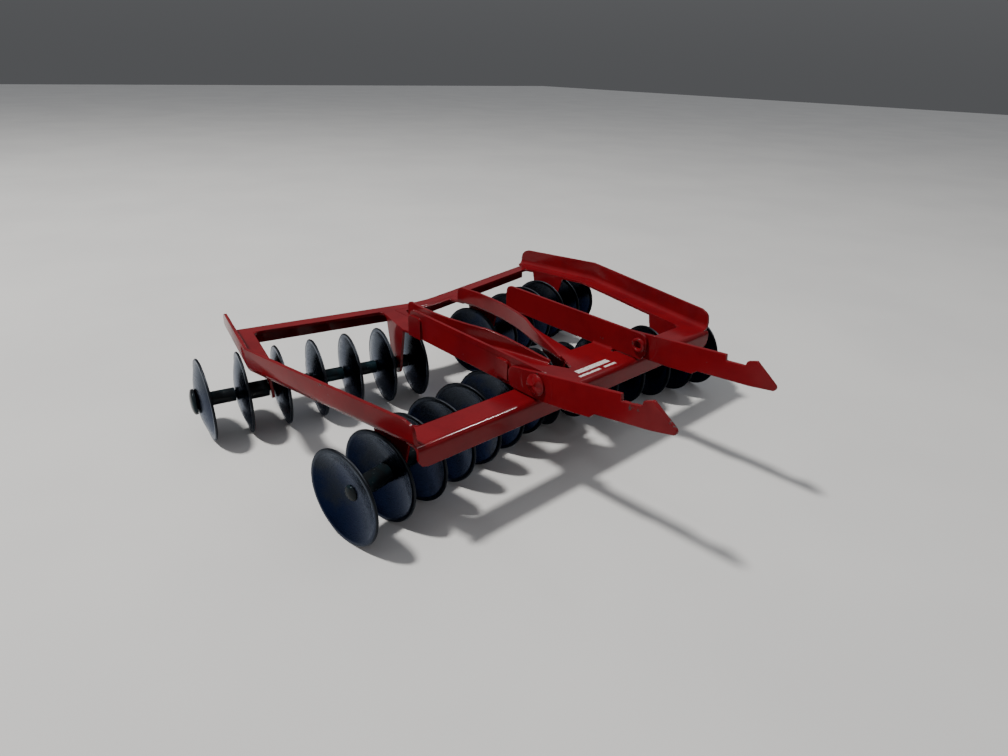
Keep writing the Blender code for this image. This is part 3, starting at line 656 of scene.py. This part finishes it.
def makeBlued(name):
    # the disc's own frame: X along the axle, so radius = length of (Y, Z)
    mat, tree, shader = startMaterial(name)[:3]
    own = node(tree, "ShaderNodeAttribute", attribute_name="own").outputs["Vector"]
    seed = node(tree, "ShaderNodeAttribute", attribute_name="seed").outputs["Fac"]
    split = node(tree, "ShaderNodeSeparateXYZ", None, {0: own}).outputs
    radius = calc(tree, "SQRT", calc(tree, "ADD", calc(tree, "MULTIPLY", split[1], split[1]),
                                     calc(tree, "MULTIPLY", split[2], split[2])))
    away = calc(tree, "MULTIPLY", seed, blued["apart"])
    moved = node(tree, "ShaderNodeCombineXYZ", None, {
        0: calc(tree, "ADD", split[0], away), 1: split[1], 2: split[2]}).outputs[0]
    skin = useGroup(tree, skinGroup, blued["skin"], {"Vector": moved})
    rings = node(tree, "ShaderNodeCombineXYZ", None, {
        0: calc(tree, "MULTIPLY", radius, blued["ringStretch"]), 1: calc(tree, "ADD", split[1], away),
        2: split[2]}).outputs[0]
    lines = noise(tree, rings, *blued["rings"])
    drift = calc(tree, "MULTIPLY", split[2], blued["drift"])
    tint = calc(tree, "ADD", calc(tree, "ADD", noise(tree, moved, *blued["clouds"]), drift),
                calc(tree, "MULTIPLY", seed, blued["seedTint"]))
    tone = mixColour(tree, ramp(tree, tint, *blued["blueFrom"]), blued["grey"], blued["blue"])
    shade = calc(tree, "ADD", calc(tree, "MULTIPLY", seed, blued["shade"]),
                 calc(tree, "MULTIPLY", ramp(tree, skin["Grime"], *blued["shadeFrom"]), blued["shade"]),
                 clamp=True)
    tone = mixColour(tree, shade, tone, blued["dark"])
    # painted highlight: a share of the lighter rim colour is laid over the flat rim band
    start = disc["radius"] - disc["rim"]
    rim = ramp(tree, radius, *(start + step for step in blued["paintedRimHighlightFrom"]))
    tone = mixColour(tree, calc(tree, "MULTIPLY", rim, blued["paintedRimHighlightShare"]), tone, blued["rim"])
    lip = ramp(tree, radius, *(disc["radius"] + step for step in blued["lipFrom"]))
    tone = mixColour(tree, lip, tone, blued["lip"])
    specks = useGroup(tree, wearGroup, blued["specks"], {"Vector": moved})
    tone = mixColour(tree, specks["Mask"], tone, blued["speck"])
    tree.links.new(tone, shader.inputs["Base Color"])
    shader.inputs["Metallic"].default_value = 1.0
    shader.inputs["Specular Tint"].default_value = blued["sheen"]
    spread = blued["roughSpread"]
    brushed = ramp(tree, lines, *blued["brushFrom"], blued["rough"] - spread, blued["rough"] + spread)
    soiled = calc(tree, "MULTIPLY", ramp(tree, skin["Grime"], *blued["grimeFrom"]), blued["grimeRough"])
    rough = calc(tree, "ADD", brushed,
                 calc(tree, "ADD", soiled, calc(tree, "MULTIPLY", lip, blued["lipRough"])))
    tree.links.new(rough, shader.inputs["Roughness"])
    height = calc(tree, "ADD", skin["Height"], calc(tree, "MULTIPLY", lines, blued["ringDepth"]))
    bump = node(tree, "ShaderNodeBump", blued["bump"], {"Height": height})
    tree.links.new(bump.outputs[0], shader.inputs["Normal"])
    return mat


blackRod = dict(
    colour=(0.011, 0.013, 0.015),
    teal=(0.010, 0.024, 0.030),
    bare=(0.10, 0.10, 0.10),
    clouds=(150.0, 3.0),
    tealFrom=(0.45, 0.68),
    chips={"Scale": 800.0, "Amount": 0.36},
    skin={"Waves": 0.6, "Grain": 0.3},
    rough=(0.11, 0.31),
    roughFrom=(0.35, 0.7),
    metal=0.2,
    gloss=0.08,
    coat=(0.01, 0.1),                # weight and roughness
    bump={"Strength": 0.15, "Distance": 0.0001},
)


def makeBlack(name):
    # black with a teal cast in patches, worn through in specks
    mat, tree, shader, coords = startMaterial(name)
    skin = useGroup(tree, skinGroup, blackRod["skin"], {"Vector": coords})
    tint = ramp(tree, noise(tree, coords, *blackRod["clouds"]), *blackRod["tealFrom"])
    tone = mixColour(tree, tint, blackRod["colour"], blackRod["teal"])
    chips = useGroup(tree, wearGroup, blackRod["chips"], {"Vector": coords})
    tone = mixColour(tree, chips["Mask"], tone, blackRod["bare"])
    tree.links.new(tone, shader.inputs["Base Color"])
    shader.inputs["Metallic"].default_value = blackRod["metal"]
    shader.inputs["Specular IOR Level"].default_value = blackRod["gloss"]
    rough = ramp(tree, skin["Grime"], *blackRod["roughFrom"], *blackRod["rough"])
    tree.links.new(rough, shader.inputs["Roughness"])
    bump = node(tree, "ShaderNodeBump", blackRod["bump"], {"Height": skin["Height"]})
    tree.links.new(bump.outputs[0], shader.inputs["Normal"])
    setCoat(shader, blackRod["coat"])
    return mat


# Worn spots: place across, place aft of the pivot, height, reach, and how much more the paint chips there.
worn = dict(
    left=((0.0247, -0.034, 0.0425, 0.008, 0.10), (0.0247, -0.046, 0.0405, 0.007, 0.10),
          (0.0247, -0.004, 0.0365, 0.008, 0.05)),
    right=((-0.0247, -0.033, 0.0445, 0.008, 0.12), (-0.0247, -0.046, 0.0445, 0.007, 0.12),
           (-0.0247, 0.0, 0.0365, 0.009, 0.07)),
    frame=((-0.0745, 0.036, 0.0384, 0.012, 0.06), (-0.066, 0.004, 0.035, 0.007, 0.06),
           (-0.0238, 0.0, 0.036, 0.007, 0.10), (0.0228, 0.0, 0.036, 0.007, 0.10)),
)
prongBoss = dict(across=0.0253, reach=0.0061)


def wornSpots(word):
    return [((x, pivotY + y, z), reach, strength) for x, y, z, reach, strength in worn[word]]


redFrame = makeEnamel("red enamel frame", wornSpots("frame"), printed=True)
redProng = {}
for word, side in (("left", 1), ("right", -1)):
    boss = ((side * prongBoss["across"], pivotY, pivotZ), prongBoss["reach"])
    redProng[word] = makeEnamel("red enamel prong " + word, wornSpots(word), boss)
bluedSteel = makeBlued("blued steel")
blackAxle = makeBlack("black axle")
print("stage 3: materials made")


def finishPiece(piece, nodes, body, mat):
    piece.data.materials.append(mat)
    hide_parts(nodes)
    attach(piece, body)


finishPiece(sheetPiece("pressedFrame", "frame", sheetMetal["frameBevel"]), "frame", "frame",
            redFrame)
for word, side in (("left", 1), ("right", -1)):
    finishPiece(sheetPiece("prong_" + word, "hitch_prong_" + word, sheetMetal["prongBevel"]),
                "hitch_prong_" + word, "hitch_" + word, redProng[word])
    finishPiece(rivetPiece("rivet_" + word, side), "prong_rivet_" + word, "frame", redFrame)
    for row in ("front", "rear"):
        body = "gang_" + row + "_" + word
        finishPiece(axlePiece("axleSet_" + row + "_" + word, row, side),
                    "axle_" + row + "_" + word, body, blackAxle)
        for number in range(1, gang["count"] + 1):
            tail = row + "_" + word + "_" + str(number)
            finishPiece(discPiece("dished_" + tail, row, (word, side), number),
                        "disc_" + tail, body, bluedSteel)
print("stage 4: pieces made")


# Surroundings

ground = dict(
    reach=3,
    first=(0.60, 0.595, 0.585),
    second=(0.64, 0.635, 0.62),
    clouds=(9.0, 3.0),
    cloudsFrom=(0.3, 0.7),
    rough=0.8,
    gloss=0.2,
)


def makeFloor():
    reach = ground["reach"]
    mesh = bpy.data.meshes.new("floor")
    mesh.from_pydata([(-reach, -reach, 0), (reach, -reach, 0), (reach, reach, 0), (-reach, reach, 0)],
                     [], [(0, 1, 2, 3)])
    floor = bpy.data.objects.new("floor", mesh)
    bpy.context.scene.collection.objects.link(floor)
    mat, tree, shader, coords = startMaterial("floor")
    clouds = ramp(tree, noise(tree, coords, *ground["clouds"]), *ground["cloudsFrom"])
    tree.links.new(mixColour(tree, clouds, ground["first"], ground["second"]), shader.inputs["Base Color"])
    shader.inputs["Roughness"].default_value = ground["rough"]
    shader.inputs["Specular IOR Level"].default_value = ground["gloss"]
    mesh.materials.append(mat)


keyLight = dict(place=(-0.48, 0.30, 1.06), target=(0, 0, 0), size=0.12, power=16,
                colour=(1, 0.98, 0.95), shineOnly=False)
# The glint only draws the shine along the front bar's fold.
foldGlint = dict(place=(0.54, -0.14, 0.92), target=(-0.05, pivotY, 0.03), size=0.11, power=16,
                 colour=(1, 1, 1), shineOnly=True)


def areaLight(name, values):
    data = bpy.data.lights.new(name, "AREA")
    data.shape = "DISK"
    data.size = values["size"]
    data.energy = values["power"]
    data.color = values["colour"]
    lamp = bpy.data.objects.new(name, data)
    bpy.context.scene.collection.objects.link(lamp)
    lamp.location = values["place"]
    way = Vector(values["target"]) - Vector(values["place"])
    lamp.rotation_euler = way.to_track_quat("-Z", "Y").to_euler()
    lamp.visible_diffuse = not values["shineOnly"]


makeFloor()
areaLight("key", keyLight)
areaLight("fold glint", foldGlint)

sky = dict(colour=(0.88, 0.90, 0.94, 1), lean=(0.0, -0.02, 1.0), span=(-0.05, 0.95), strength=(0.10, 0.50))


def makeWorld():
    # brightness grows with direction . lean, so the room stays dim near the horizon
    world = bpy.data.worlds.new("world")
    world.use_nodes = True
    tree = world.node_tree
    back = tree.nodes["Background"]
    back.inputs["Color"].default_value = sky["colour"]
    way = tree.nodes.new("ShaderNodeTexCoord").outputs["Generated"]
    lean = node(tree, "ShaderNodeVectorMath", {1: sky["lean"]}, {0: way}, operation="DOT_PRODUCT")
    tree.links.new(ramp(tree, lean.outputs["Value"], *sky["span"], *sky["strength"]), back.inputs["Strength"])
    bpy.context.scene.world = world


makeWorld()
print("stage 5: floor and lights made")
